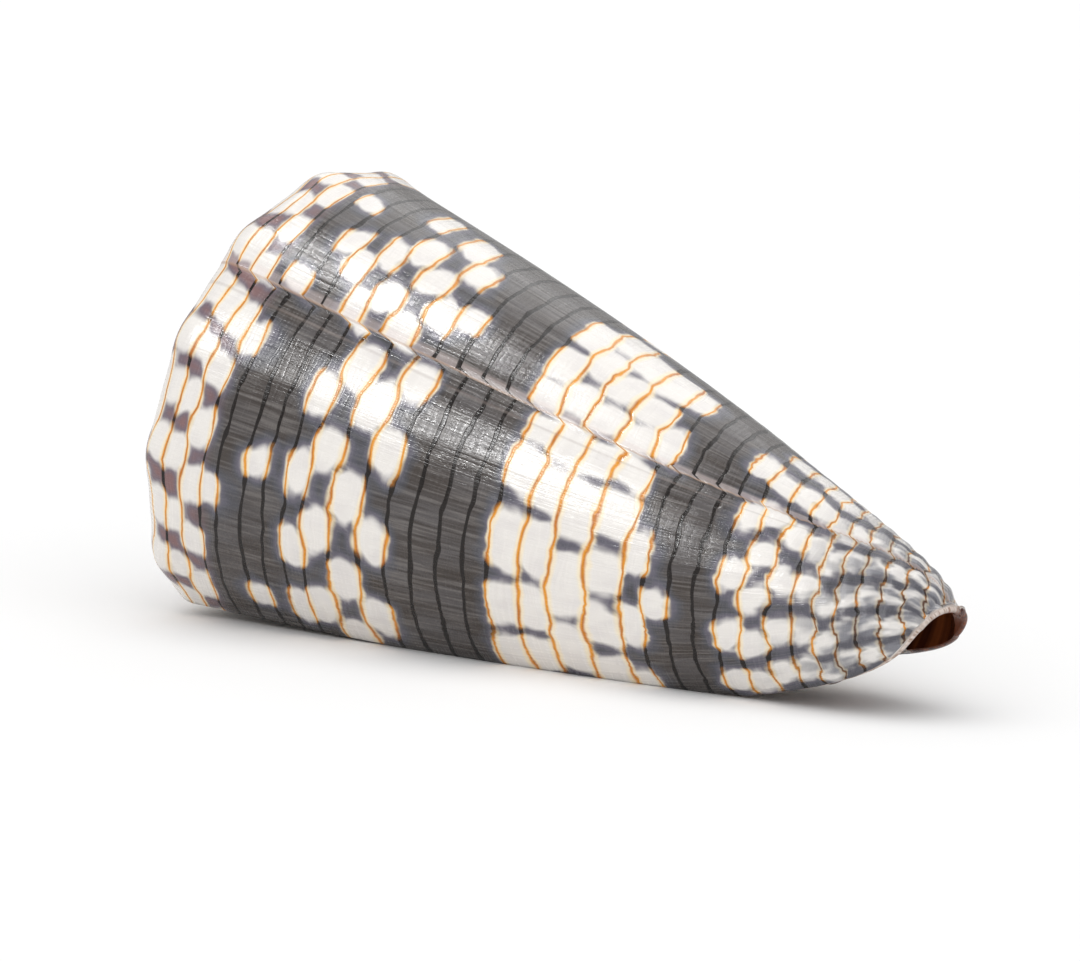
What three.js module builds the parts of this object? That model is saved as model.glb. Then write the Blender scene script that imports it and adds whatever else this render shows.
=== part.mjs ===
// A zoned cone shell: a low spire with a knobbed shoulder, a body whorl that tapers to the front
// over a narrow lengthwise opening, and an obliquely cut front canal. It grew as one piece, so it is
// one closed solid. Millimetres, +Z up. It lies on its opening with the front end towards +X.
// Growth angles are in degrees: 0 at the lip, and more negative the older the shell is.
// Heights run along the winding axis, from the front tip towards the apex.
import * as THREE from 'three';

// Form of the body whorl
const SHELL_LENGTH = 56.1;
const SPIRE_HEIGHT = 5.0;
const SHOULDER_RADIUS = 16.9;
const TIP_RADIUS = 3.0;
const PROFILE_POWER = 0.646;
const PROFILE_BULGE = 0.25;
const SHOULDER_ROUNDING = 2.3;
const SHOULDER_DROP = 1.0;

// Winding of the whorls
const WHORLS = 8;
const RADIUS_GROWTH = 1.3;
const HEIGHT_GROWTH = 1.5;
const TIP_WINDING = 0.2;
const TIP_REACH = 14;

// Ramp of the spire, as shares of its width and heights in millimetres
const RAMP_CORNER = 0.12;
const RAMP_CORNER_RISE = 1.25;
const RAMP_INNER = 0.6;
const RAMP_INNER_DIP = 0.35;

// Knobs along the shoulder
const KNOBS_PER_WHORL = 12.5;
const KNOB_HEIGHT = 0.5;
const KNOB_SHARPNESS = 1.6;
const KNOB_TILT = 40;
const KNOB_REACH_DOWN = 1.7;
const KNOB_REACH_RAMP = 0.3;

// Ledge left by an earlier lip, which leans back towards the front end
const LEDGE_ANGLE = -92;
const LEDGE_DEPTH = 0.15;
const LEDGE_FADE = 8;
const GROWTH_LAG = 60;
const GROWTH_LAG_REACH = 6.5;

// Front rim, lip, wall and passage
const RIM_MIDDLE = -140;
const RIM_SLOPE = 0.5;
const RIM_CORNER = 9;
const RIM_CORNER_POWER = 8;
const RIM_LEAD = 0.8;
const RIM_LEAD_ANGLE = -170;
const RIM_LEAD_SPREAD = 60;
const RIM_BLEND = 4;
const COLUMELLA_END = 6.5;
const COLUMELLA_RISE = 1.5;
const COLUMELLA_TIP = 4.0;
const TIP_WALL = 0.45;
const LIP_WALL = 0.9;
const EDGE_BULGE = 0.25;
const PASSAGE_ANGLE = -264;

// How it lies, and the depth of the worn flats it rests on
const DIP = 10.9;
const LIP_TURN = 36.8;
const REST_FLAT = 0.2;

// Facets
const COLUMNS = 60;
const ROWS = 20;
const ROW_CROWDING = 0.13;
const ROOF_ROW = 17;
const PASSAGE_STEP = 2;
const RAMP_SHARES = [0, 0.15, 0.4, 0.7, 1];
const SPIRE_COLUMNS = 330;

const COLUMN_ANGLE = 360 / COLUMNS;
const AXIS = new THREE.Vector3(1, 0, 0).applyAxisAngle(new THREE.Vector3(0, 1, 0), radians(DIP));
const UPWARD = new THREE.Vector3(0, 0, 1).applyAxisAngle(new THREE.Vector3(0, 1, 0), radians(DIP));

const points = [];
const triangles = [];

function radians(degrees) {
  return THREE.MathUtils.degToRad(degrees);
}

// Rises from 0 at the front tip to 1 at TIP_REACH
function tipFade(height) {
  return Math.sin((Math.PI / 2) * THREE.MathUtils.clamp(height / TIP_REACH, 0, 1));
}

function growth(angle) {
  return 1 + angle / (360 * WHORLS);
}

function radiusShare(angle) {
  return growth(angle) ** RADIUS_GROWTH;
}

function shoulderHeight(angle) {
  return SHELL_LENGTH - SPIRE_HEIGHT * growth(angle) ** HEIGHT_GROWTH;
}

// Height of the seam where the ramp of the spire begins
function seamHeight(angle) {
  return shoulderHeight(angle) - SHOULDER_DROP * radiusShare(angle);
}

// The younger side of the ledge starts lower and swells back to the full radius
function ledge(angle, height) {
  const past = angle + GROWTH_LAG * Math.exp(-height / GROWTH_LAG_REACH) - LEDGE_ANGLE;
  return past < 0 ? 0 : LEDGE_DEPTH * Math.exp(-past / LEDGE_FADE);
}

// Outer radius of a whorl, without its knobs
function sideRadius(angle, height) {
  const share = radiusShare(angle);
  const along = Math.max(0, height) / shoulderHeight(angle);
  const profile = TIP_RADIUS + (SHOULDER_RADIUS - TIP_RADIUS) * along ** PROFILE_POWER;
  const bulge = PROFILE_BULGE * Math.sin(Math.PI * along);
  const wound = THREE.MathUtils.lerp(TIP_WINDING, 1, tipFade(height));
  const winding = SHOULDER_RADIUS * (1 - share) * wound;
  const rounding = SHOULDER_ROUNDING * share;
  const into = Math.max(0, (height - shoulderHeight(angle) + rounding) / rounding);
  return profile + bulge - winding - rounding * (1 - Math.sqrt(1 - into * into)) - ledge(angle, height);
}

// Height of the knobs round the shoulder, from 0 in each dip
function knob(angle) {
  const wave = Math.sin(radians(KNOBS_PER_WHORL * angle) / 2) ** 2;
  return KNOB_HEIGHT * radiusShare(angle) * wave ** KNOB_SHARPNESS;
}

// Front rim of the shell: cut back at the lip, held up by the columella on the other side, and
// leading between the two
function rimHeight(angle) {
  const spread = Math.abs((angle - RIM_MIDDLE) / RIM_MIDDLE);
  const cut = RIM_SLOPE * spread ** 2 + RIM_CORNER * spread ** RIM_CORNER_POWER;
  const lead = RIM_LEAD * Math.exp(-(((angle - RIM_LEAD_ANGLE) / RIM_LEAD_SPREAD) ** 2));
  if (angle > RIM_MIDDLE) {
    return cut - lead;
  }
  const columella = COLUMELLA_END + COLUMELLA_RISE * Math.max(0, -1 - angle / 360);
  return (cut ** -RIM_BLEND + columella ** -RIM_BLEND) ** (-1 / RIM_BLEND) - lead;
}

function rowHeight(angle, row) {
  const share = row / ROWS;
  const crowded = share - ROW_CROWDING * Math.sin(2 * Math.PI * share);
  return THREE.MathUtils.lerp(rimHeight(angle), seamHeight(angle), crowded);
}

function wallThickness(height) {
  return THREE.MathUtils.lerp(TIP_WALL, LIP_WALL, tipFade(height));
}

function addPoint(angle, radius, height) {
  const turn = radians(LIP_TURN - angle);
  const point = AXIS.clone().multiplyScalar(SHELL_LENGTH / 2 - height);
  point.addScaledVector(UPWARD, -radius * Math.cos(turn));
  point.y -= radius * Math.sin(turn);
  points.push(point);
  return points.length - 1;
}

// Raises a point of the shoulder by the height of a knob
function addKnobPoint(angle, radius, height, raise) {
  const tilt = radians(KNOB_TILT);
  return addPoint(angle, radius + raise * Math.cos(tilt), height + raise * Math.sin(tilt));
}

function sideColumn(angle, rows) {
  return Array.from({ length: rows + 1 }, (_, row) => {
    const height = rowHeight(angle, row);
    const below = (seamHeight(angle) - height) / KNOB_REACH_DOWN;
    return addKnobPoint(angle, sideRadius(angle, height), height, knob(angle) * Math.exp(-below * below));
  });
}

function innerColumn(angle) {
  return Array.from({ length: ROOF_ROW + 1 }, (_, row) => {
    const height = rowHeight(angle, row);
    return addPoint(angle, sideRadius(angle, height) - wallThickness(height), height);
  });
}

// A point of the spire's ramp, from the seam of this whorl at 0 to that of the whorl before at 1
function addRampPoint(angle, share) {
  const outer = new THREE.Vector2(sideRadius(angle, seamHeight(angle)), seamHeight(angle));
  const before = angle - 360;
  const inner = new THREE.Vector2(sideRadius(before, seamHeight(before)), seamHeight(before));
  const width = outer.x - inner.x;
  const scale = radiusShare(angle);
  const corner = new THREE.Vector2(outer.x - RAMP_CORNER * width, outer.y + RAMP_CORNER_RISE * scale);
  const hollow = new THREE.Vector2(outer.x - RAMP_INNER * width, inner.y - RAMP_INNER_DIP * scale);
  const place = new THREE.CubicBezierCurve(outer, corner, hollow, inner).getPoint(share);
  const own = knob(angle) * (1 - share) * Math.exp(-((share / KNOB_REACH_RAMP) ** 2));
  const older = knob(before) * Math.exp(-(((1 - share) / KNOB_REACH_RAMP) ** 2));
  return addKnobPoint(angle, place.x, place.y, own + older * share);
}

// Fills the band between two lines of points that run the same way
function zip(first, second) {
  const apart = (a, b) => points[a].distanceTo(points[b]);
  let i = 0;
  let j = 0;
  while (i < first.length - 1 || j < second.length - 1) {
    const firstEnds = i === first.length - 1;
    const secondEnds = j === second.length - 1;
    const nearer = !firstEnds && !secondEnds
      && apart(first[i + 1], second[j]) <= apart(first[i], second[j + 1]);
    if (secondEnds || nearer) {
      triangles.push(first[i], second[j], first[i + 1]);
      i += 1;
    } else {
      triangles.push(first[i], second[j], second[j + 1]);
      j += 1;
    }
  }
}

function zipAll(lines) {
  lines.slice(1).forEach((line, index) => zip(lines[index], line));
}

function fan(centre, loop) {
  loop.forEach((point, index) => triangles.push(centre, point, loop[(index + 1) % loop.length]));
}

// Outer side of the body whorl, from the lip once round to the whorl's own start
const side = Array.from({ length: COLUMNS + 1 }, (_, column) => sideColumn(-column * COLUMN_ANGLE, ROWS));
zipAll(side);

// Spire: a spiral ramp whose inner edge is the seam of the whorl before
const seam = side.map((column) => column.at(-1));
for (let column = COLUMNS + 1; column <= SPIRE_COLUMNS + COLUMNS; column += 1) {
  seam.push(addRampPoint(-column * COLUMN_ANGLE, 0));
}
const ramps = Array.from({ length: SPIRE_COLUMNS + 1 }, (_, column) => {
  const between = RAMP_SHARES.slice(1, -1).map((share) => addRampPoint(-column * COLUMN_ANGLE, share));
  return [seam[column], ...between, seam[column + COLUMNS]];
});
zipAll(ramps);
const apexLoop = [...seam.slice(SPIRE_COLUMNS), ...ramps.at(-1).slice(1, -1).reverse()];
fan(addPoint(0, 0, SHELL_LENGTH), apexLoop);

// Passage inside the lip: the inner face of the outer wall and the whorl that it winds over
const passageColumns = -PASSAGE_ANGLE / COLUMN_ANGLE;
const passageAngles = Array.from(
  { length: passageColumns / PASSAGE_STEP + 1 },
  (_, step) => -step * PASSAGE_STEP * COLUMN_ANGLE,
);
const outerWall = passageAngles.map(innerColumn);
const innerWhorl = passageAngles.map((angle, index) =>
  index === 0 ? side.at(-1).slice(0, ROOF_ROW + 1) : sideColumn(angle - 360, ROOF_ROW),
);
zipAll([...outerWall].reverse());
zipAll(innerWhorl);
zip(outerWall.map((column) => column.at(-1)), innerWhorl.map((column) => column.at(-1)));
zip(innerWhorl.at(-1), outerWall.at(-1));

// Rounded edge of the wall, down the lip and round the front rim
function addEdgePoint(angle, row) {
  const height = rowHeight(angle, row);
  const radius = sideRadius(angle, height) - wallThickness(height) / 2;
  const forward = angle === 0 ? THREE.MathUtils.radToDeg(EDGE_BULGE / radius) : 0;
  const front = row === 0 ? EDGE_BULGE : 0;
  return addPoint(angle + forward, radius, height - front);
}
const rimColumns = Array.from({ length: passageColumns }, (_, column) => column + 1);
const lipRows = Array.from({ length: ROOF_ROW }, (_, row) => ROOF_ROW - 1 - row);
const edgeOuter = [
  ...side[0].slice(0, ROOF_ROW + 1).reverse(),
  ...rimColumns.map((column) => side[column][0]),
];
const edgeMiddle = [
  ...lipRows.map((row) => addEdgePoint(0, row)),
  ...rimColumns.slice(0, -1).map((column) => addEdgePoint(-column * COLUMN_ANGLE, 0)),
];
const edgeInner = [...outerWall[0].slice().reverse(), ...outerWall.slice(1).map((column) => column[0])];
zip(edgeOuter, edgeMiddle);
zip(edgeMiddle, edgeInner);
triangles.push(edgeOuter[0], edgeInner[0], edgeMiddle[0]);
triangles.push(edgeOuter.at(-1), edgeMiddle.at(-1), edgeInner.at(-1));

// Step at the top of the lip, where the last whorl ends against the one before
const step = [
  ...side[0].slice(ROOF_ROW),
  ...ramps[0].slice(1),
  ...side.at(-1).slice(ROOF_ROW, -1).reverse(),
  outerWall[0].at(-1),
];
const stepOutline = step.map((index) => {
  const across = points[index].clone().addScaledVector(AXIS, -points[index].dot(AXIS));
  return new THREE.Vector2(across.length(), -points[index].dot(AXIS));
});
THREE.ShapeUtils.triangulateShape(stepOutline, []).forEach((face) => {
  triangles.push(...face.map((corner) => step[corner]));
});

// End of the columella inside the front canal
const columellaLoop = [
  side[passageColumns][0],
  outerWall.at(-1)[0],
  ...innerWhorl.map((column) => column[0]).reverse(),
  ...side.slice(passageColumns + 1, -1).map((column) => column[0]).reverse(),
];
fan(addPoint(0, 0, COLUMELLA_TIP), columellaLoop);

// Centred over its footprint, and flattened where it rests
const box = new THREE.Box3().setFromPoints(points);
const middle = box.getCenter(new THREE.Vector3());
points.forEach((point) => {
  point.x -= middle.x;
  point.y -= middle.y;
  point.z = Math.max(0, point.z - box.min.z - REST_FLAT);
});

const geometry = new THREE.BufferGeometry().setFromPoints(points);
geometry.setIndex(triangles);
geometry.computeVertexNormals();

const shell = new THREE.Mesh(
  geometry,
  new THREE.MeshStandardMaterial({ color: 0x6f6b6c, roughness: 0.25, metalness: 0 }),
);
shell.name = 'shell';

const coneShell = new THREE.Group();
coneShell.add(shell);

export default coneShell;
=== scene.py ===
"""Looks of a zoned cone shell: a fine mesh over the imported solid, its markings, light and camera.

Growth angles are in degrees: 0 at the lip, and more negative the older the shell is.
Heights run along the winding axis, from the front tip towards the apex. Sizes are in millimetres.
"""
import math

import bpy
import numpy as np
from mathutils import Matrix, Vector


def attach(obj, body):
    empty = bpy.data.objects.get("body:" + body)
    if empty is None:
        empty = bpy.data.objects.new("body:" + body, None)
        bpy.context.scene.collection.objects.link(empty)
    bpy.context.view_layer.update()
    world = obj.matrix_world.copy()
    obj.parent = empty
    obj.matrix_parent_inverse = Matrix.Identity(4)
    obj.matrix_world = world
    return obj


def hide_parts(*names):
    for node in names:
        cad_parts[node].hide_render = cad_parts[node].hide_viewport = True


MILLIMETRE = 0.001

# Least value of a share or length that is raised to a power
SMALLEST = 0.001

# Form of the body whorl
SHELL_LENGTH = 56.1
SPIRE_HEIGHT = 5.0
SHOULDER_RADIUS = 16.9
TIP_RADIUS = 3.0
PROFILE_POWER = 0.646
PROFILE_BULGE = 0.25
SHOULDER_ROUNDING = 2.3
SHOULDER_DROP = 1.0

# Winding of the whorls
WHORLS = 8
RADIUS_GROWTH = 1.3
HEIGHT_GROWTH = 1.5
TIP_WINDING = 0.2
TIP_REACH = 14

# Ramp of the spire, as shares of its width and heights in millimetres
RAMP_CORNER = 0.12
RAMP_CORNER_RISE = 1.25
RAMP_INNER = 0.6
RAMP_INNER_DIP = 0.35

# Knobs along the shoulder
KNOBS_PER_WHORL = 12.5
KNOB_HEIGHT = 0.5
KNOB_SHARPNESS = 1.6
KNOB_TILT = 40
KNOB_REACH_DOWN = 1.7
KNOB_REACH_RAMP = 0.3

# Ledge left by an earlier lip, which leans back towards the front end
LEDGE_ANGLE = -92
LEDGE_DEPTH = 0.15
LEDGE_FADE = 8
GROWTH_LAG = 60
GROWTH_LAG_REACH = 6.5

# Front rim, lip, wall and passage
RIM_MIDDLE = -140
RIM_SLOPE = 0.5
RIM_CORNER = 9
RIM_CORNER_POWER = 8
RIM_LEAD = 0.8
RIM_LEAD_ANGLE = -170
RIM_LEAD_SPREAD = 60
RIM_BLEND = 4
COLUMELLA_END = 6.5
COLUMELLA_RISE = 1.5
COLUMELLA_TIP = 4.0
TIP_WALL = 0.45
LIP_WALL = 0.9
EDGE_BULGE = 0.25
PASSAGE_ANGLE = -264
ROOF_SHARE = 0.85

# How it lies, and the depth of the worn flats it rests on
DIP = 10.9
LIP_TURN = 36.8
REST_FLAT = 0.2

# Fine relief: growth wrinkles all over, and low spiral ribs that fade away from the front end
WRINKLE_HEIGHT = 0.022
WRINKLE_RATE = 0.5
WRINKLE_WAVES = 9
RIB_HEIGHT = 0.14
RIB_REACH = 7.0

# Irregular waves: how much quicker and weaker each is than the one before, how far its rate strays,
# and what the sum is divided by
WAVE_QUICKENING = 1.45
WAVE_WEAKENING = 1.2
WAVE_STRAY = 0.15
WAVE_DIVISOR = 3

# Grid of the fine mesh
COLUMNS = 300
ROWS = 180
ROW_CROWDING = 0.13
RAMP_ROWS = 8
SPIRE_COLUMNS = 2000
PASSAGE_STEP = 4
EDGE_LINES = 5
COLUMN_STEP = 360 / COLUMNS
ROW_SHARES = np.linspace(0, 1, ROWS + 1)
ROOF_ROW = round(ROWS * ROOF_SHARE)
PASSAGE_COLUMNS = round(-PASSAGE_ANGLE / COLUMN_STEP)

# Places on the map that textures are baked to, as left, low, right and high
SIDE_MAP = (0.005, 0.32, 0.995, 0.995)
OUTER_WALL_MAP = (0.33, 0.03, 0.63, 0.28)
INNER_WHORL_MAP = (0.65, 0.03, 0.95, 0.28)
ROOF_MAP = (0.33, 0.003, 0.63, 0.008)
PASSAGE_END_MAP = (0.65, 0.003, 0.95, 0.008)
EDGE_OUTER_MAP = (0.01, 0.288, 0.99, 0.291)
EDGE_MAP = (0.01, 0.291, 0.99, 0.312)
EDGE_INNER_MAP = (0.01, 0.312, 0.99, 0.315)

# Places on that map for what is laid out flat, as the middle and the share of the map that a millimetre
# takes, and the direction that is upward there on a flat face
SPIRE_MAP = ((0.145, 0.145), 0.0075)
COLUMELLA_MAP = ((0.975, 0.05), 0.0025)
LIP_TOP_MAP = ((0.962, 0.1), 0.002)
RIM_END_MAP = ((0.962, 0.15), 0.002)
STEP_MAP = ((0.96, 0.22), 0.002)
FLAT_FACE_UPWARD = (0, 0.8, 0.6)

# Spiral threads on the younger side of the ledge, as heights above the front tip once the whorl there is
# scaled to its size at the lip. Beyond the first and the last they go on at THREAD_SPACING. The strips
# between them are numbered from 0 at the front tip.
THREADS = (
    1.2, 2.5, 3.8, 5.2, 6.8, 8.5, 10.0, 11.5, 13.2, 14.8, 16.2, 18.7, 21.1, 23.1, 25.2,
    26.9, 28.7, 30.6, 32.4, 34.3, 36.4, 38.3, 39.7, 41.2, 42.7, 44.7, 45.8, 47.3, 48.6, 50.1,
)
THREAD_SPACING = 1.4
OUTER_STRIPS = 12
SHOULDER_STRIP = len(THREADS)
RAMP_STRIPS = 3
SEAM_STRIP = SHOULDER_STRIP + RAMP_STRIPS

# Waver of the threads: its height, slowest rate and number of waves, and how far and how fast it is moved
# along from one thread to the next
THREAD_WAVE = 0.17
THREAD_WAVE_RATE = 0.17
THREAD_WAVES = 6
THREAD_SWAY = 9
THREAD_SWAY_RATE = 1.7

# Shift of the threads across the ledge and their lean on either side, as a length and a share of height
YOUNG_LEAN = 0.017
OLD_SHIFT = (0.45, 0.0165)
OLD_LEAN = (0.3, 0.02)
OLD_LEAN_ANGLE = 48
OLD_LEAN_MOST = 1.3
SHIFT_FADE_POWER = 20

# Zones of the markings: first strip, spacing of the white blotches in degrees, the white share of it,
# the share of the strip's width that a blotch fills, and how round its ends are
ZONES = (
    (-OUTER_STRIPS, 26, 0.58, 0.9, 0.8),
    (6, 28, 0.5, 1.0, 1.0),
    (7, 75, 0.15, 0.85, 1.0),
    (10, 27, 0.55, 1.0, 1.0),
    (11, 23, 0.84, 1.06, 0.6),
    (15, 95, 0.1, 0.9, 1.0),
    (19, 24, 0.55, 0.98, 1.0),
    (23, 55, 0.16, 0.95, 1.0),
    (27, 14.4, 0.62, 1.04, 0.7),
    (SHOULDER_STRIP, 28.8, 0.66, 1.2, 0.3),
)

# Middles of the blotches that show from the lip side, by strip. Elsewhere they are scattered by rule, from
# SEEN_FROM on these strips and from NEWEST on the others, as far as OLDEST.
BLOTCHES = {
    6: (-115, -83, -54, -24, 2),
    7: (),
    8: (),
    9: (-36,),
    10: (-132, -102, -55, -27, 2),
    11: (-130, -111, -97, -85, -68, -46, -25, -2),
    12: (-132, -115, -98, -86, -67, -38, -12),
    13: (-138, -121, -100, -86, -69, -50, -27, -9),
    14: (-130, -110, -97, -87, -74, -48, -27, -8),
    15: (),
    16: (),
    17: (),
    18: (-108,),
    19: (-125, -106, -84, -64, -37, -12),
    20: (-138, -113, -96, -75, -47, -22, -4),
    21: (-122, -102, -82, -58, -37, -12),
    22: (-142, -115, -97, -71, -50, -30, -11),
    23: (-107,),
    24: (-113, -49, -12),
    25: (-128, -97),
    26: (-76, -40),
}
SEEN_FROM = -150
NEWEST = 30
OLDEST = -2900
SEED = 7

# Scatter of the blotches: least and most share of the spacing and of the length, and the most slant
BLOTCH_SPACINGS = (0.75, 1.25)
BLOTCH_LENGTHS = (0.88, 1.08)
BLOTCH_SLANT = 0.3

# How far a blotch pushes its threads apart, as a share of the strip's width
THREAD_SWELL = 0.08

# How many strips away a blotch still counts, and the depth of the dark where none does
BLOTCH_REACH = 2.5
DARKEST = -9.0

# Stain on the columella beside the front canal: where it starts, how it spreads and how far it reaches
STAIN_ANGLE = -262
STAIN_SPREAD = 30
STAIN_REACH = 14.0

# Start of the look of the inside: how far behind the lip it is full on the whorl within, and its least
# share there and across the lip's edge
WITHIN_ANGLE = 40
WITHIN_LEAST = 0.3
EDGE_LEAST = 0.35

# Width of the markings at the apex, as a share of that at the lip
APEX_SCALE = 0.1

# Noises of the material: rates in two directions, and levels of detail. The first direction is that of
# growth, round the shell, and the second is along the shell. For RUST they are the other way about.
STRIAE = (1.3, 0.3, 4.0)
STREAKS = (1.1, 0.35, 3.0)
SPIRALS = (0.04, 9.0, 3.0)
GRAIN = (4.0, 6.0, 1.0)
PATCHES = (0.11, 3.7, 1.0)
WOBBLE = (0.16, 1.1, 1.0)
MOTTLE = (0.07, 0.5, 2.0)
RUST = (0.9, 0.3, 4.0)

# Plain colours, as screen values of 0 to 255
DEEP_SLATE = (66, 59, 55)
FRONT_SLATE = (82, 82, 88)
DARK_FLAME = (104, 76, 72)
WHITE = (234, 230, 225)
FRONT_GREY = (124, 124, 130)
LEDGE_PALE = (222, 206, 202)
CREAM = (252, 230, 180)
AMBER = (226, 150, 44)
WORN_AMBER = (84, 56, 42)
THREAD_BLACK = (18, 9, 5)
SEAM_TAN = (140, 112, 96)
DARK_RUST = (58, 24, 17)
PALE_RIM = (216, 204, 196)

# Tones laid over a colour: the two ends of the value that they follow, their shares there, and the colour
SLATE = (0.3, 0.7, 0.0, 1.0, (85, 81, 81))
PALE_STREAK = (0.48, 0.66, 0.0, 0.65, (114, 109, 106))
DARK_STREAK = (0.48, 0.32, 0.0, 0.65, (50, 42, 37))
BLUE_GREY = (-1.3, -0.4, 0.0, 0.6, (80, 85, 97))
PLUM = (SHOULDER_STRIP - 3.8, SHOULDER_STRIP - 2, 0.0, 1.0, (130, 100, 100))
LILAC = (-0.75, -0.2, 0.0, 0.75, (110, 105, 118))
PALE_FLAME = (0.35, 0.65, 0.0, 1.0, (142, 114, 110))
WHITE_SHADE = (0.35, 0.8, 0.0, 0.5, (216, 211, 210))
DARK_AMBER = (0.35, 0.7, 0.0, 1.0, (188, 112, 38))
OLD_LIP = (0.1, 0.5, 0.5, 0.0, (176, 142, 116))
FAINT_LIP = (0.1, 0.7, 0.25, 0.0, (150, 136, 130))
PALE_RUST = (0.35, 0.7, 0.0, 1.0, (132, 70, 36))
WORN_RIM = (0.4, 0.65, 0.0, 1.0, (158, 132, 116))
PORCELAIN = (9.0, 26.0, 0.0, 1.0, (214, 204, 206))

# Fades: the two ends of the value that they follow, and the shares there where these aren't 0 and 1
BLOTCH_WOBBLE = (0.25, 0.75, -0.2, 0.2)
BLOTCH_EDGE = (-0.34, 0.2)
FRONT_END = (9.5, 2.5)
FRONT_DULLNESS = (0.4, 0.6, 0.1, 1.0)
LEDGE_STRIP_START = (-3.4, -2.0)
LEDGE_STRIP_END = (-0.2, 0.2, 1.0, 0.0)
BESIDE_WHITE = (-0.5, -0.05)
HALO = (0.08, 0.22, 0.6, 0.0)
THREAD_WEAR = (0.32, 0.55)
THREAD_CORES = (0.0, 1.0, 0.065, 0.015)
THREAD_WIDTHS = (0.25, 0.75, 0.075, 0.108)
SEAM_STAIN = (SEAM_STRIP - 0.5, SEAM_STRIP, 0.0, 0.7)
RIM_STAIN = (-160, -140)
INSIDE_START = (0.55, 1.0)
ROUGHNESS = (0.7, 1.3, 0.14, 0.34)

# Strengths of single layers, and how far the fainter old lip lies from the ledge
FRONT_SLATE_SHARE = 0.75
LEDGE_STRIP_SHARE = 0.32
SPIRE_THREAD_LOSS = 0.85
FRONT_HALO_LOSS = 0.6
FAINT_LIP_ANGLE = 5.5

# Bump in the material, as shares of its height, and the gloss
STRIAE_BUMP = 0.6
SPIRALS_BUMP = 0.3
GRAIN_BUMP = 0.2
THREAD_GROOVE = 0.35
BUMP_STRENGTH = 0.35
BUMP_HEIGHT = 0.12
SPECULAR_LEVEL = 0.38

# Sockets of a node that mixes colours
MIX_SHARE = 0
MIX_FIRST = 6
MIX_SECOND = 7
MIX_RESULT = 2

# Camera: its direction, roll, distance and lens, and where the middle of the axis lies in the frame
VIEW_AZIMUTH = 34.216
VIEW_ELEVATION = 8.131
VIEW_ROLL = 3.644
VIEW_DISTANCE = 420
VIEW_RIGHT = 2.303
VIEW_DOWN = 1.327
LENS = 216.7
SENSOR = 36
NEAREST_SEEN = 10

# Lights that only show in the gloss: azimuth and elevation, distance and size in metres, and watts
GLINTS = {
    "front_glint": (-2, 32, 3.0, 0.2, 44),
    "shoulder_glint": (-40, 80, 3.0, 0.2, 31),
    "back_sheen": (205, 50, 3.0, 2.6, 26),
}

# One wide soft light for the rest: azimuth, elevation and spread in degrees, and strength
SOFT_LIGHT = (20, 65, 100, 1.65)
SOFT_LIGHT_DISTANCE = 1
WORLD_STRENGTH = 0.6

# Floor: its size in metres, and how much of the light it gives back
FLOOR_SIZE = 12
FLOOR_ALBEDO = 0.95


def tip_fade(height):
    return np.sin(np.pi / 2 * np.clip(height / TIP_REACH, 0, 1))


def growth(angle):
    return np.maximum(1 + angle / (360 * WHORLS), SMALLEST)


def radius_share(angle):
    return growth(angle) ** RADIUS_GROWTH


def height_share(angle):
    return growth(angle) ** HEIGHT_GROWTH


def shoulder_height(angle):
    return SHELL_LENGTH - SPIRE_HEIGHT * height_share(angle)


def seam_height(angle):
    return shoulder_height(angle) - SHOULDER_DROP * radius_share(angle)


def growth_line(angle, height):
    """The growth angle of the old lip through a point, which leans back towards the front end."""
    return angle + GROWTH_LAG * np.exp(-height / GROWTH_LAG_REACH)


def ledge(angle, height):
    past = growth_line(angle, height) - LEDGE_ANGLE
    return np.where(past < 0, 0, LEDGE_DEPTH * np.exp(-np.maximum(past, 0) / LEDGE_FADE))


def side_radius(angle, height):
    share = radius_share(angle)
    along = np.maximum(0, height) / shoulder_height(angle)
    profile = TIP_RADIUS + (SHOULDER_RADIUS - TIP_RADIUS) * along**PROFILE_POWER
    bulge = PROFILE_BULGE * np.sin(np.pi * along)
    winding = SHOULDER_RADIUS * (1 - share) * (TIP_WINDING + (1 - TIP_WINDING) * tip_fade(height))
    rounding = SHOULDER_ROUNDING * share
    into = np.maximum(0, (height - shoulder_height(angle) + rounding) / rounding)
    return profile + bulge - winding - rounding * (1 - np.sqrt(1 - into * into)) - ledge(angle, height)


def knob(angle):
    wave = np.sin(np.radians(KNOBS_PER_WHORL * angle) / 2) ** 2
    return KNOB_HEIGHT * radius_share(angle) * wave**KNOB_SHARPNESS


def rim_height(angle):
    spread = np.abs((angle - RIM_MIDDLE) / RIM_MIDDLE)
    cut = RIM_SLOPE * spread**2 + RIM_CORNER * spread**RIM_CORNER_POWER
    lead = RIM_LEAD * np.exp(-(((angle - RIM_LEAD_ANGLE) / RIM_LEAD_SPREAD) ** 2))
    columella = COLUMELLA_END + COLUMELLA_RISE * np.maximum(0, -1 - angle / 360)
    held = (np.maximum(cut, SMALLEST) ** -RIM_BLEND + columella**-RIM_BLEND) ** (-1 / RIM_BLEND)
    return np.where(angle > RIM_MIDDLE, cut, held) - lead


def row_height(angle, share):
    crowded = share - ROW_CROWDING * np.sin(2 * np.pi * share)
    return rim_height(angle) + (seam_height(angle) - rim_height(angle)) * crowded


def wall_thickness(height):
    return TIP_WALL + (LIP_WALL - TIP_WALL) * tip_fade(height)


def place(angle, radius, height):
    """Points of the shell as it lies, before it is centred over its footprint."""
    turn = np.radians(LIP_TURN - angle)
    dip = math.radians(DIP)
    along = SHELL_LENGTH / 2 - height
    up = -radius * np.cos(turn)
    x = along * math.cos(dip) + up * math.sin(dip)
    z = -along * math.sin(dip) + up * math.cos(dip)
    return np.stack(np.broadcast_arrays(x, -radius * np.sin(turn), z), -1)


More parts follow.
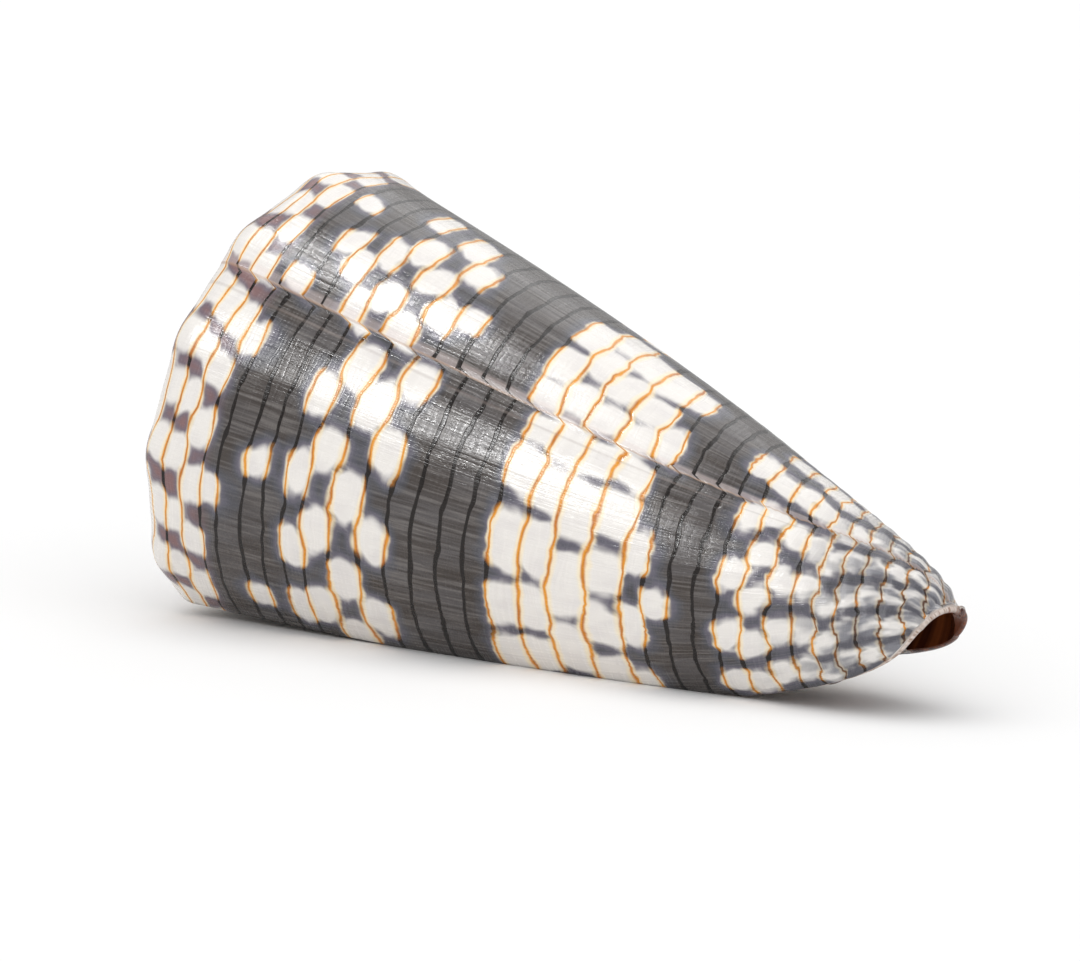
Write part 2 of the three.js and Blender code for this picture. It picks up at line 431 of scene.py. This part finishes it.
def place_raised(angle, radius, height, raised):
    tilt = math.radians(KNOB_TILT)
    return place(angle, radius + raised * math.cos(tilt), height + raised * math.sin(tilt))


def waves(values, slowest, count, rng):
    """A smooth, irregular wave between about -1 and 1 with several wavelengths in it."""
    total = np.zeros_like(values)
    for number in range(count):
        rate = slowest * WAVE_QUICKENING**number * rng.uniform(1 - WAVE_STRAY, 1 + WAVE_STRAY)
        total += np.sin(values * rate + rng.uniform(0, 2 * np.pi)) / WAVE_WEAKENING**number
    return total / WAVE_DIVISOR


def shift_fade(height):
    return 1 - np.clip(height / THREADS[-1], 0, 1) ** SHIFT_FADE_POWER


def thread_shift(height, line):
    """How far a thread has moved towards the apex from its place on the younger side of the ledge."""
    young = YOUNG_LEAN * height * np.clip((line - LEDGE_ANGLE) / -LEDGE_ANGLE, 0, 1)
    lean = np.clip((LEDGE_ANGLE - line) / OLD_LEAN_ANGLE, 0, OLD_LEAN_MOST)
    step = OLD_SHIFT[0] + OLD_SHIFT[1] * height
    old = step + (OLD_LEAN[0] + OLD_LEAN[1] * height) * lean
    return np.where(line >= LEDGE_ANGLE, young, old) * shift_fade(height)


def strip_edges():
    """Strip numbers and the thread heights that bound them, carried on past both ends."""
    before = THREADS[0] - THREAD_SPACING * np.arange(OUTER_STRIPS, 0, -1)
    after = THREADS[-1] + THREAD_SPACING * np.arange(1, OUTER_STRIPS)
    heights = np.concatenate([before, THREADS, after])
    return np.arange(len(heights)) + 1 - OUTER_STRIPS, heights


def strip_number(angle, height, rng):
    """The strip that a point is in, with the way across it as a fraction."""
    line = growth_line(angle, height)
    grown = SHELL_LENGTH - (SHELL_LENGTH - height) / height_share(angle)
    swayed = line + THREAD_SWAY * np.sin(grown * THREAD_SWAY_RATE)
    wave = THREAD_WAVE * waves(swayed, THREAD_WAVE_RATE, THREAD_WAVES, rng)
    numbers, heights = strip_edges()
    return np.interp(grown - thread_shift(grown, line) + wave * shift_fade(grown), heights, numbers)


def zone(strip):
    return [row for row in ZONES if row[0] <= strip][-1][1:]


def strip_blotches(strip, rng):
    """Starts, ends and slants of the white blotches of one strip, in degrees, oldest first."""
    spacing, white = zone(strip)[:2]
    middles = list(BLOTCHES.get(strip, ()))
    angle = SEEN_FROM if strip in BLOTCHES else NEWEST
    while angle > OLDEST:
        angle -= spacing * rng.uniform(*BLOTCH_SPACINGS)
        middles.append(angle)
    middles = np.sort(middles)
    gaps = np.minimum(np.diff(middles), spacing * BLOTCH_SPACINGS[1])
    lengths = white / 2 * rng.uniform(*BLOTCH_LENGTHS, len(middles))
    starts = middles - np.append(spacing, gaps) * lengths
    ends = middles + np.append(gaps, spacing) * lengths
    return starts, ends, rng.uniform(-BLOTCH_SLANT, BLOTCH_SLANT, len(middles))


def blotch_table(rng):
    """Every strip's blotches. Those of the ramp run across all its strips."""
    numbers, _ = strip_edges()
    table = {number: strip_blotches(number, rng) for number in numbers[:-1]}
    ramp = {number: table[SHOULDER_STRIP] for number in numbers[:-1] if number > SHOULDER_STRIP}
    return table | ramp


def swollen(strip, line, blotches):
    """Strip numbers where the threads stand apart round each blotch."""
    cell = np.floor(strip)
    within = strip - cell
    push = np.zeros_like(strip)
    for number, (starts, ends, _) in blotches.items():
        index = np.clip(np.searchsorted(ends, line), 0, len(ends) - 1)
        along = (2 * line - starts[index] - ends[index]) / (ends[index] - starts[index])
        swell = np.sqrt(np.maximum(0, 1 - along * along))
        sides = [cell == number + 1, cell == number, cell == number - 1]
        push += swell * np.select(sides, [1 - within, 2 * within - 1, -within])
    return strip - THREAD_SWELL * push


def rounded_box(across, along, half_across, half_along, roundness):
    """Depth inside a rounded rectangle, negative outside it."""
    corner = roundness * np.minimum(half_across, half_along)
    x = np.abs(across) - half_across + corner
    y = np.abs(along) - half_along + corner
    outside = np.hypot(np.maximum(x, 0), np.maximum(y, 0))
    return corner - outside - np.minimum(np.maximum(x, y), 0)


def white_depth(strip, line, radius, scale, blotches):
    """Depth inside the nearest white blotch in millimetres, negative in the dark between them."""
    numbers, heights = strip_edges()
    depth = np.full(strip.shape, DARKEST)
    arc = radius * math.pi / 180
    for number, low, high in zip(numbers[:-1], heights[:-1], heights[1:]):
        starts, ends, slants = blotches[number]
        filled, roundness = zone(number)[2:]
        near = np.abs(strip - number - 0.5) < BLOTCH_REACH
        width = (high - low) * scale[near]
        across = (strip[near] - number - 0.5) * width
        after = np.clip(np.searchsorted(ends, line[near]), 1, len(ends) - 1)
        for index in (after - 1, after):
            middle = (starts[index] + ends[index]) / 2
            half = (ends[index] - starts[index]) / 2 * arc[near]
            along = (line[near] - middle) * arc[near] + slants[index] * across
            inside = rounded_box(across, along, filled * width / 2, half, roundness)
            depth[near] = np.maximum(depth[near], inside)
    return depth


def canal_stain(angle, height):
    return np.clip((STAIN_ANGLE - angle) / STAIN_SPREAD, 0, 1) * np.exp(-((height / STAIN_REACH) ** 2))


def chart_grid(grid, left, low, right, high):
    """Evenly spread places on the bake map for a grid of points."""
    across = np.linspace(left, right, grid.shape[0])[:, None]
    upward = np.linspace(low, high, grid.shape[1])[None, :]
    return np.stack(np.broadcast_arrays(across, upward), -1)


def chart_flat(flat, centre, layout):
    """Places on the bake map for points laid out flat, with their centre at the layout's middle."""
    middle, reach = layout
    return np.array(middle) + (flat - centre) * reach


def seen_along_axis(points):
    """Points laid out flat as they are seen along the winding axis."""
    dip = math.radians(DIP)
    upward = points @ np.array([math.sin(dip), 0, math.cos(dip)])
    return np.stack([points[..., 1], upward], -1)


class ShellMesh:
    """Points with their markings, and faces with their places on the map that textures are baked to."""

    MARKS = ("strip", "line", "radius", "scale", "height", "spire", "inside", "edge")

    def __init__(self):
        self.blocks = []
        self.marks = {name: [] for name in self.MARKS}
        self.count = 0
        self.faces = []
        self.corners = []

    def points(self):
        return np.concatenate(self.blocks)

    def add(self, points, **marks):
        """Adds an array of points and returns their numbers in the same layout."""
        shape = points.shape[:-1]
        self.blocks.append(points.reshape(-1, 3))
        for name in self.MARKS:
            values = np.broadcast_to(marks.get(name, 0.0), shape)
            self.marks[name].append(values.ravel())
        numbers = np.arange(self.count, self.count + math.prod(shape)).reshape(shape)
        self.count += math.prod(shape)
        return numbers

    def add_on_axis(self, height, **marks):
        """Adds one point of the winding axis and returns its number."""
        points = place(np.zeros(1), np.zeros(1), np.array([height]))
        return self.add(points, height=height, **marks)[0]

    def add_quads(self, grid, chart):
        """Fills a grid of points whose lines run side by side."""
        for layout, target in ((grid, self.faces), (chart, self.corners)):
            quads = (layout[:-1, :-1], layout[1:, :-1], layout[1:, 1:], layout[:-1, 1:])
            stacked = np.stack(quads, 2)
            target.extend(stacked.reshape(-1, *stacked.shape[2:]).tolist())

    def add_lines(self, lines, chart):
        """Fills the bands between long lines of points that are equal in number."""
        grid = np.stack(lines)
        self.add_quads(grid, chart_grid(grid.T, *chart).swapaxes(0, 1))

    def add_face(self, numbers, chart):
        self.faces.append([int(number) for number in numbers])
        self.corners.append([list(corner) for corner in chart])

    def add_flat_face(self, loop, layout):
        """Fills a loop of points with one face."""
        points = self.points()[loop]
        flat = np.stack([points[:, 0], points @ np.array(FLAT_FACE_UPWARD)], -1)
        self.add_face(loop, chart_flat(flat, flat.mean(0), layout))

    def add_fan(self, middle, loop, layout):
        """Fills a loop of points with triangles that meet at one point of the winding axis."""
        flat = seen_along_axis(self.points())
        chart = chart_flat(flat, flat[middle], layout)
        for first, second in zip(loop, np.roll(loop, -1)):
            corners = np.array([middle, first, second])
            self.add_face(corners, chart[corners])

    def add_band(self, first, second, chart):
        """Fills the band between two lines of points that may differ in number."""
        points = self.points()
        left, low, right, high = chart
        ends = (len(first) - 1, len(second) - 1)

        def corner(line, step):
            return (left + (right - left) * step / ends[line], (low, high)[line])

        i = j = 0
        while (i, j) != ends:
            to_first = np.linalg.norm(points[first[min(i + 1, ends[0])]] - points[second[j]])
            to_second = np.linalg.norm(points[first[i]] - points[second[min(j + 1, ends[1])]])
            if j == ends[1] or (i < ends[0] and to_first <= to_second):
                third, place_of_third = first[i + 1], corner(0, i + 1)
                step = (1, 0)
            else:
                third, place_of_third = second[j + 1], corner(1, j + 1)
                step = (0, 1)
            self.add_face((first[i], second[j], third), (corner(0, i), corner(1, j), place_of_third))
            i, j = i + step[0], j + step[1]


def column_angles(first, last, step=1):
    """Growth angles of the grid's columns, which are counted from the lip."""
    return -COLUMN_STEP * np.arange(first, last + 1, step)


def add_side(mesh, angles, rows, rng, inside=0.0):
    """Points of the whorl's outer face at these angles, from the front rim towards the shoulder."""
    angle = angles[:, None]
    height = row_height(angle, rows[None, :])
    below = (seam_height(angle) - height) / KNOB_REACH_DOWN
    raised = knob(angle) * np.exp(-below * below)
    strip = strip_number(angle, height, rng)
    line = growth_line(angle, height)
    relief = WRINKLE_HEIGHT * waves(line, WRINKLE_RATE, WRINKLE_WAVES, rng) * tip_fade(height)
    relief += RIB_HEIGHT * np.exp(-height / RIB_REACH) * (0.5 - 0.5 * np.cos(2 * np.pi * strip))
    radius = side_radius(angle, height)
    points = place_raised(angle, radius + relief, height, raised)
    stained = np.maximum(inside, canal_stain(angle, height))
    return mesh.add(
        points, strip=strip, line=line, radius=radius, scale=1.0, height=height, inside=stained
    )


def add_ramp(mesh, angles, shares):
    """Points of the spire's ramp, from the seam of this whorl at 0 to that of the whorl before at 1."""
    angle = angles[:, None]
    share = shares[None, :]
    before = angle - 360
    outer = np.stack([side_radius(angle, seam_height(angle)), seam_height(angle)])
    inner = np.stack([side_radius(before, seam_height(before)), seam_height(before)])
    width = outer[0] - inner[0]
    scale = radius_share(angle)
    corner = np.stack([outer[0] - RAMP_CORNER * width, outer[1] + RAMP_CORNER_RISE * scale])
    hollow = np.stack([outer[0] - RAMP_INNER * width, inner[1] - RAMP_INNER_DIP * scale])
    rest = 1 - share
    radius, height = (
        rest**3 * outer + 3 * rest**2 * share * corner + 3 * rest * share**2 * hollow + share**3 * inner
    )
    own = knob(angle) * rest * np.exp(-((share / KNOB_REACH_RAMP) ** 2))
    older = knob(before) * share * np.exp(-((rest / KNOB_REACH_RAMP) ** 2))
    strip = SHOULDER_STRIP + RAMP_STRIPS * share
    points = place_raised(angle, radius, height, own + older)
    return mesh.add(
        points, strip=strip, line=angle, radius=radius, scale=scale, height=height, spire=1.0
    )


def add_spire(mesh, side):
    """The ramp, which winds from the side's last row up to the apex."""
    seam_angles = column_angles(COLUMNS + 1, COLUMNS + SPIRE_COLUMNS)
    seam = np.concatenate([side[:, -1], add_ramp(mesh, seam_angles, np.zeros(1))[:, 0]])
    shares = np.linspace(0, 1, RAMP_ROWS + 1)[1:-1]
    between = add_ramp(mesh, column_angles(0, SPIRE_COLUMNS), shares)
    ramp = np.column_stack([seam[: SPIRE_COLUMNS + 1], between, seam[COLUMNS:]])
    apex = mesh.add_on_axis(SHELL_LENGTH, strip=SEAM_STRIP, line=OLDEST, scale=APEX_SCALE, spire=1.0)
    flat = seen_along_axis(mesh.points())
    mesh.add_quads(ramp, chart_flat(flat, flat[apex], SPIRE_MAP)[ramp])
    mesh.add_fan(apex, np.concatenate([seam[SPIRE_COLUMNS:], ramp[-1, -2:0:-1]]), SPIRE_MAP)
    return ramp


def add_passage(mesh, side, rng):
    """The passage behind the lip: its outer wall, the whorl within it, its roof and its end."""
    angles = column_angles(0, PASSAGE_COLUMNS, PASSAGE_STEP)
    rows = ROW_SHARES[: ROOF_ROW + 1]
    height = row_height(angles[:, None], rows[None, :])
    radius = side_radius(angles[:, None], height) - wall_thickness(height)
    outer_wall = mesh.add(place(angles[:, None], radius, height), height=height, inside=1.0)
    within = np.clip(-angles[1:, None] / WITHIN_ANGLE, WITHIN_LEAST, 1)
    whorl = add_side(mesh, angles[1:] - 360, rows, rng, within)
    inner_whorl = np.concatenate([side[-1:, : ROOF_ROW + 1], whorl])
    mesh.add_quads(outer_wall[::-1], chart_grid(outer_wall, *OUTER_WALL_MAP))
    mesh.add_quads(inner_whorl, chart_grid(inner_whorl, *INNER_WHORL_MAP))
    mesh.add_lines([outer_wall[:, -1], inner_whorl[:, -1]], ROOF_MAP)
    mesh.add_lines([inner_whorl[-1], outer_wall[-1]], PASSAGE_END_MAP)
    return outer_wall, inner_whorl


def add_edge_lines(mesh):
    """Lines of points round the edge's bulge, which run down the lip and on along the front rim."""
    angle = np.concatenate([np.zeros(ROOF_ROW), column_angles(1, PASSAGE_COLUMNS - 1)])
    row = np.concatenate([ROW_SHARES[ROOF_ROW - 1 :: -1], np.zeros(PASSAGE_COLUMNS - 1)])
    height = row_height(angle, row)
    radius = side_radius(angle, height)
    turn = np.pi * np.arange(1, EDGE_LINES + 1)[:, None] / (EDGE_LINES + 1)
    bulge = EDGE_BULGE * np.sin(turn)
    past_lip = np.where(angle == 0, np.degrees(bulge / radius), 0)
    past_rim = np.where(row == 0, bulge, 0)
    inward = wall_thickness(height) * (1 - np.cos(turn)) / 2
    points = place(angle + past_lip, radius - inward, height - past_rim)
    inside = EDGE_LEAST + (1 - EDGE_LEAST) * turn / np.pi
    return mesh.add(points, line=angle, height=height, inside=inside, edge=1.0)


def add_edge(mesh, side, outer_wall):
    """The rounded edge of the lip and the front rim, with a face at each of its ends."""
    lines = add_edge_lines(mesh)
    outer = np.concatenate([side[0, ROOF_ROW::-1], side[1 : PASSAGE_COLUMNS + 1, 0]])
    inner = np.concatenate([outer_wall[0, ::-1], outer_wall[1:, 0]])
    mesh.add_band(outer, lines[0], EDGE_OUTER_MAP)
    mesh.add_lines(lines, EDGE_MAP)
    mesh.add_band(lines[-1], inner, EDGE_INNER_MAP)
    mesh.add_flat_face([outer[0], inner[0], *lines[::-1, 0]], LIP_TOP_MAP)
    mesh.add_flat_face([outer[-1], *lines[:, -1], inner[-1]], RIM_END_MAP)


def add_step(mesh, side, ramp, outer_wall):
    """The face above the lip, where the last whorl ends on the one before."""
    before = side[-1, ROWS - 1 : ROOF_ROW - 1 : -1]
    mesh.add_flat_face([*side[0, ROOF_ROW:], *ramp[0, 1:], *before, outer_wall[0, -1]], STEP_MAP)


def add_columella(mesh, side, outer_wall, inner_whorl):
    """The front end of the columella, round which the passage winds."""
    tip = mesh.add_on_axis(COLUMELLA_TIP, inside=1.0)
    loop = np.concatenate([
        [side[PASSAGE_COLUMNS, 0], outer_wall[-1, 0]],
        inner_whorl[::-1, 0],
        side[COLUMNS - 1 : PASSAGE_COLUMNS : -1, 0],
    ])
    mesh.add_fan(tip, loop, COLUMELLA_MAP)


def build_mesh(rng):
    """The whole closed surface, with the same patches as the solid."""
    mesh = ShellMesh()
    side = add_side(mesh, column_angles(0, COLUMNS), ROW_SHARES, rng)
    mesh.add_quads(side, chart_grid(side, *SIDE_MAP))
    ramp = add_spire(mesh, side)
    outer_wall, inner_whorl = add_passage(mesh, side, rng)
    add_edge(mesh, side, outer_wall)
    add_step(mesh, side, ramp, outer_wall)
    add_columella(mesh, side, outer_wall, inner_whorl)
    return mesh


def point_marks(mesh, rng):
    """What the material reads at each point."""
    marks = {name: np.concatenate(mesh.marks[name]) for name in mesh.MARKS}
    blotches = blotch_table(rng)
    marks["strip"] = swollen(marks["strip"], marks["line"], blotches)
    radius, scale = marks.pop("radius"), marks.pop("scale")
    marks["white"] = white_depth(marks["strip"], marks["line"], radius, scale, blotches)
    return marks


def settled(points):
    """Points centred over their footprint and flattened where the shell rests, and the shift to there."""
    low, high = points.min(0), points.max(0)
    shift = -np.array([(low[0] + high[0]) / 2, (low[1] + high[1]) / 2, low[2] + REST_FLAT])
    points = points + shift
    points[:, 2] = np.maximum(points[:, 2], 0)
    return points, shift


def shell_object(rng):
    """The fine shell with its marks, and where the middle of its winding axis lies."""
    built = build_mesh(rng)
    points, axis_middle = settled(built.points())
    data = bpy.data.meshes.new("cone_shell")
    data.from_pydata((points * MILLIMETRE).tolist(), [], built.faces)
    data.polygons.foreach_set("use_smooth", [True] * len(data.polygons))
    for name, values in point_marks(built, rng).items():
        attribute = data.attributes.new(name, "FLOAT", "POINT")
        attribute.data.foreach_set("value", values.astype(np.float32))
    uv = data.uv_layers.new(name="OFBake")
    uv.data.foreach_set("uv", [value for face in built.corners for corner in face for value in corner])
    data.update()
    shell = bpy.data.objects.new("cone_shell", data)
    bpy.context.scene.collection.objects.link(shell)
    return shell, axis_middle


def shader_colour(colour):
    """A screen colour of 0 to 255 as the linear values that a shader takes, by the sRGB curve."""
    parts = [part / 255 for part in colour]
    linear = [part / 12.92 if part <= 0.04045 else ((part + 0.055) / 1.055) ** 2.4 for part in parts]
    return (*linear, 1.0)


class Nodes:
    """Short ways to add the nodes of one material. A colour is a socket or a tuple of screen values."""

    def __init__(self, name):
        self.material = bpy.data.materials.new(name)
        self.material.use_nodes = True
        self.tree = self.material.node_tree
        self.shader = self.tree.nodes["Principled BSDF"]

    def put(self, socket, value):
        if isinstance(value, bpy.types.NodeSocket):
            self.tree.links.new(value, socket)
        elif isinstance(value, tuple):
            socket.default_value = shader_colour(value)
        else:
            socket.default_value = value

    def shade(self, **values):
        """Sets the shader's sockets, whose names have spaces where these have underscores."""
        for name, value in values.items():
            self.put(self.shader.inputs[name.replace("_", " ")], value)

    def add(self, kind, inputs, output=0, **settings):
        node = self.tree.nodes.new(kind)
        for name, value in settings.items():
            setattr(node, name, value)
        for socket, value in inputs.items():
            self.put(node.inputs[socket], value)
        return node.outputs[output]

    def mark(self, name):
        return self.add("ShaderNodeAttribute", {}, "Fac", attribute_name=name)

    def math(self, operation, *values):
        return self.add("ShaderNodeMath", dict(enumerate(values)), operation=operation)

    def times(self, first, second):
        return self.math("MULTIPLY", first, second)

    def between(self, value, low, high, start=0.0, end=1.0):
        """Goes smoothly from start to end as a value goes from low to high."""
        inputs = {"Value": value, "From Min": low, "From Max": high, "To Min": start, "To Max": end}
        return self.add("ShaderNodeMapRange", inputs, interpolation_type="SMOOTHSTEP")

    def blend(self, share, first, second):
        inputs = {MIX_SHARE: share, MIX_FIRST: first, MIX_SECOND: second}
        return self.add("ShaderNodeMix", inputs, MIX_RESULT, data_type="RGBA")

    def toned(self, ground, value, tone):
        """Lays a tone over a colour by the value that the tone follows."""
        *fade, colour = tone
        return self.blend(self.between(value, *fade), ground, colour)

    def noise(self, first, second, rates):
        """Noise over the surface, with its own rate in each of two directions."""
        first_rate, second_rate, detail = rates
        places = {"X": self.times(first, first_rate), "Y": self.times(second, second_rate)}
        vector = self.add("ShaderNodeCombineXYZ", places)
        return self.add("ShaderNodeTexNoise", {"Vector": vector, "Scale": 1.0, "Detail": detail}, "Fac")


class ShellLook(Nodes):
    """The shell's material. Growth striae run the length of the shell, and threads run round it."""

    def __init__(self):
        super().__init__("zoned_shell")
        self.strip = self.mark("strip")
        self.line = self.mark("line")
        self.height = self.mark("height")
        self.spire = self.mark("spire")
        self.past_ledge = self.math("SUBTRACT", self.line, LEDGE_ANGLE)
        self.front = self.between(self.height, *FRONT_END)
        self.striae = self.noise(self.line, self.strip, STRIAE)
        self.streaks = self.noise(self.line, self.strip, STREAKS)
        self.spirals = self.noise(self.line, self.strip, SPIRALS)
        self.patches = self.noise(self.line, self.math("FLOOR", self.strip), PATCHES)
        self.wobble = self.noise(self.line, self.strip, WOBBLE)
        self.mottle = self.noise(self.line, self.strip, MOTTLE)
        self.depth = self.math("ADD", self.mark("white"), self.between(self.wobble, *BLOTCH_WOBBLE))
        self.beside_white = self.between(self.depth, *BESIDE_WHITE)

    def dark_ground(self):
        """Slate with fine streaks, blue-grey and lilac near the blotches, plum at the shoulder."""
        ground = self.toned(DEEP_SLATE, self.patches, SLATE)
        ground = self.toned(ground, self.streaks, PALE_STREAK)
        ground = self.toned(ground, self.streaks, DARK_STREAK)
        ground = self.toned(ground, self.depth, BLUE_GREY)
        ground = self.toned(ground, self.strip, PLUM)
        ground = self.toned(ground, self.depth, LILAC)
        ground = self.blend(self.times(self.front, FRONT_SLATE_SHARE), ground, FRONT_SLATE)
        return self.blend(self.spire, ground, self.toned(DARK_FLAME, self.streaks, PALE_FLAME))

    def white_ground(self):
        """White with a faint shade, greyer at the front end."""
        white = self.toned(WHITE, self.wobble, WHITE_SHADE)
        dull = self.times(self.front, self.between(self.mottle, *FRONT_DULLNESS))
        return self.blend(dull, white, FRONT_GREY)

    def with_ledge_strip(self, ground):
        """The pale strip on the older side of the ledge."""
        started = self.between(self.past_ledge, *LEDGE_STRIP_START)
        bare = self.times(started, self.between(self.past_ledge, *LEDGE_STRIP_END))
        return self.blend(self.times(bare, LEDGE_STRIP_SHARE), ground, LEDGE_PALE)

    def thread_shares(self):
        """How much shows of the threads and of their halo beside white. Both are weak on the spire."""
        cell = self.math("FRACT", self.math("ADD", self.strip, 0.5))
        off = self.math("ABSOLUTE", self.math("SUBTRACT", cell, 0.5))
        shown = self.math("SUBTRACT", 1.0, self.times(self.spire, SPIRE_THREAD_LOSS))
        core = self.between(self.beside_white, *THREAD_CORES)
        width = self.between(self.patches, *THREAD_WIDTHS)
        thread = self.times(self.between(off, core, width, 1.0, 0.0), shown)
        haloed = self.math("SUBTRACT", shown, self.times(self.front, FRONT_HALO_LOSS))
        halo = self.times(self.times(self.between(off, *HALO), self.beside_white), haloed)
        return thread, halo

    def thread_colour(self):
        """Amber beside white, worn brown at the front end, and nearly black over the dark bands."""
        amber = self.toned(AMBER, self.patches, DARK_AMBER)
        worn = self.times(self.front, self.between(self.mottle, *THREAD_WEAR))
        return self.blend(self.beside_white, THREAD_BLACK, self.blend(worn, amber, WORN_AMBER))

    def with_seam(self, ground):
        """The stained seam between the whorls of the spire."""
        return self.blend(self.times(self.spire, self.between(self.strip, *SEAM_STAIN)), ground, SEAM_TAN)

    def with_old_lips(self, ground):
        """The tan line of the old lip at the ledge, and a fainter one beyond it."""
        ground = self.toned(ground, self.math("ABSOLUTE", self.past_ledge), OLD_LIP)
        past_faint = self.math("SUBTRACT", self.past_ledge, FAINT_LIP_ANGLE)
        return self.toned(ground, self.math("ABSOLUTE", past_faint), FAINT_LIP)

    def with_inside(self, ground):
        """The bare edge of the lip, the rust stain of the front canal, and the porcelain behind it."""
        rust = self.noise(self.height, self.line, RUST)
        stain = self.toned(DARK_RUST, rust, PALE_RUST)
        rim = self.blend(self.between(self.line, *RIM_STAIN), stain, self.toned(PALE_RIM, rust, WORN_RIM))
        ground = self.blend(self.mark("edge"), ground, rim)
        lining = self.toned(stain, self.height, PORCELAIN)
        return self.blend(self.between(self.mark("inside"), *INSIDE_START), ground, lining)

    def bump(self, thread):
        """Striae, spirals and grain, with a groove along each thread."""
        striae = self.times(self.striae, STRIAE_BUMP)
        spirals = self.times(self.spirals, SPIRALS_BUMP)
        grain = self.times(self.noise(self.line, self.strip, GRAIN), GRAIN_BUMP)
        relief = self.math("ADD", self.math("ADD", striae, spirals), grain)
        relief = self.math("SUBTRACT", relief, self.times(thread, THREAD_GROOVE))
        inputs = {"Strength": BUMP_STRENGTH, "Distance": BUMP_HEIGHT * MILLIMETRE, "Height": relief}
        return self.add("ShaderNodeBump", inputs, "Normal")


def shell_material():
    look = ShellLook()
    thread, halo = look.thread_shares()
    ground = look.blend(look.between(look.depth, *BLOTCH_EDGE), look.dark_ground(), look.white_ground())
    ground = look.with_ledge_strip(ground)
    ground = look.blend(halo, ground, CREAM)
    ground = look.blend(thread, ground, look.thread_colour())
    ground = look.with_seam(ground)
    ground = look.with_old_lips(ground)
    ground = look.with_inside(ground)
    roughness = look.between(look.math("ADD", look.striae, look.spirals), *ROUGHNESS)
    look.shade(Base_Color=ground, Roughness=roughness, Normal=look.bump(thread))
    look.shade(Specular_IOR_Level=SPECULAR_LEVEL)
    return look.material


def direction(azimuth, elevation):
    around, up = math.radians(azimuth), math.radians(elevation)
    return Vector((math.sin(around) * math.cos(up), -math.cos(around) * math.cos(up), math.sin(up)))


def add_camera(middle):
    """A camera at the photograph's viewing angle, aimed past the middle of the winding axis."""
    back = direction(VIEW_AZIMUTH, VIEW_ELEVATION)
    level = Vector((0, 0, 1)).cross(back).normalized()
    upright = back.cross(level)
    roll = math.radians(VIEW_ROLL)
    right = level * math.cos(roll) + upright * math.sin(roll)
    up = upright * math.cos(roll) - level * math.sin(roll)
    at = Vector(middle) + back * VIEW_DISTANCE - right * VIEW_RIGHT + up * VIEW_DOWN
    data = bpy.data.cameras.new("camera")
    data.lens = LENS
    data.sensor_width = SENSOR
    data.clip_start = NEAREST_SEEN * MILLIMETRE
    camera = bpy.data.objects.new("camera", data)
    facing = Matrix((right, up, back)).transposed().to_4x4()
    camera.matrix_world = Matrix.Translation(at * MILLIMETRE) @ facing
    bpy.context.scene.collection.objects.link(camera)
    bpy.context.scene.camera = camera


def hang_light(data, azimuth, elevation, distance):
    light = bpy.data.objects.new(data.name, data)
    toward = direction(azimuth, elevation)
    light.location = toward * distance
    light.rotation_euler = toward.to_track_quat("Z", "Y").to_euler()
    bpy.context.scene.collection.objects.link(light)
    return light


def add_glint(name, azimuth, elevation, distance, size, power):
    data = bpy.data.lights.new(name, "AREA")
    data.shape = "DISK"
    data.size = size
    data.energy = power
    hang_light(data, azimuth, elevation, distance).visible_diffuse = False


def add_soft_light(azimuth, elevation, spread, strength):
    data = bpy.data.lights.new("soft", "SUN")
    data.angle = math.radians(spread)
    data.energy = strength
    hang_light(data, azimuth, elevation, SOFT_LIGHT_DISTANCE).visible_glossy = False


def add_world():
    world = bpy.data.worlds.new("studio")
    world.use_nodes = True
    background = world.node_tree.nodes["Background"]
    background.inputs["Color"].default_value = (1, 1, 1, 1)
    background.inputs["Strength"].default_value = WORLD_STRENGTH
    bpy.context.scene.world = world


def floor_material():
    nodes = Nodes("floor")
    nodes.shader.inputs["Base Color"].default_value = (FLOOR_ALBEDO, FLOOR_ALBEDO, FLOOR_ALBEDO, 1)
    nodes.shade(Roughness=1.0, Specular_IOR_Level=0.0)
    return nodes.material


def add_floor():
    half = FLOOR_SIZE / 2
    data = bpy.data.meshes.new("floor")
    corners = [(-half, -half, 0), (half, -half, 0), (half, half, 0), (-half, half, 0)]
    data.from_pydata(corners, [], [(0, 1, 2, 3)])
    data.materials.append(floor_material())
    floor = bpy.data.objects.new("floor", data)
    bpy.context.scene.collection.objects.link(floor)


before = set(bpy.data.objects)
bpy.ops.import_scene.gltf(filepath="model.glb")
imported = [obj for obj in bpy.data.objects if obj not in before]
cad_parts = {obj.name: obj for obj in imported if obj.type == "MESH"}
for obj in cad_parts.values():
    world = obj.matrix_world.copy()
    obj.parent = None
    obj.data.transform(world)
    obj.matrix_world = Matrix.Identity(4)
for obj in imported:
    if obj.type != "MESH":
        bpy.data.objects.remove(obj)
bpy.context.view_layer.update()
shell, axis_middle = shell_object(np.random.default_rng(SEED))
shell.data.materials.append(shell_material())
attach(shell, "root")
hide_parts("shell")

add_floor()
add_world()
for glint_name, glint_values in GLINTS.items():
    add_glint(glint_name, *glint_values)
add_soft_light(*SOFT_LIGHT)
add_camera(axis_middle)
bpy.context.scene.view_settings.view_transform = "Standard"
